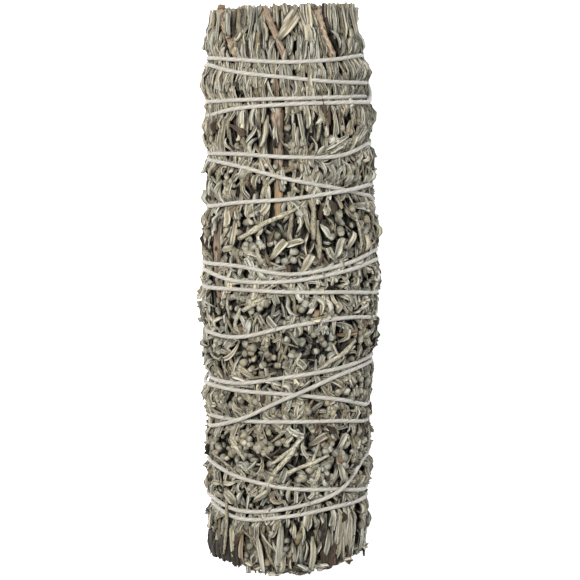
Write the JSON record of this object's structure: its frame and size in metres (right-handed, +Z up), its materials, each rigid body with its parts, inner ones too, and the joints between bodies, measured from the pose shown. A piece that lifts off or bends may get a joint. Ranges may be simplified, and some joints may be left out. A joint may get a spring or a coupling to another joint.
{
  "type": "sage smudge stick",
  "caption": "Bundle of dried sagebrush sprigs with woody stems, bound from end to end with one criss-crossed cotton string, lying on its side.",
  "frame": {"origin": "under the middle of the bundle, on the surface that it lies on", "axes": "+Y along the bundle towards the cut stem ends, +Z up, +X to the right when looking down with the cut ends away from the viewer"},
  "size_m": [0.0667, 0.2159, 0.065],
  "materials": {
    "sage_leaf": "dry, matt and velvety, grey-green to tan",
    "sage_stem": "rough shredding bark with pale cut ends",
    "cotton_string": "matt, twisted from plies, slightly fuzzy"
  },
  "bodies": {
    "root": {"sprig_01": "sage_leaf", "sprig_02": "sage_leaf", "sprig_03": "sage_leaf", "sprig_04": "sage_leaf", "sprig_05": "sage_leaf", "sprig_06": "sage_leaf", "sprig_07": "sage_leaf", "sprig_08": "sage_leaf", "sprig_09": "sage_leaf", "sprig_10": "sage_leaf", "sprig_11": "sage_leaf", "sprig_12": "sage_leaf", "inner_sprig_01": "sage_leaf", "inner_sprig_02": "sage_leaf", "inner_sprig_03": "sage_leaf", "inner_sprig_04": "sage_leaf", "stem_01": "sage_stem", "stem_02": "sage_stem", "stem_03": "sage_stem", "stem_04": "sage_stem", "stem_05": "sage_stem", "stem_06": "sage_stem", "stem_07": "sage_stem", "stem_08": "sage_stem", "stem_09": "sage_stem", "stem_10": "sage_stem", "stem_11": "sage_stem", "stem_12": "sage_stem", "core_stem": "sage_stem", "string": "cotton_string"}
  },
  "joints": []
}
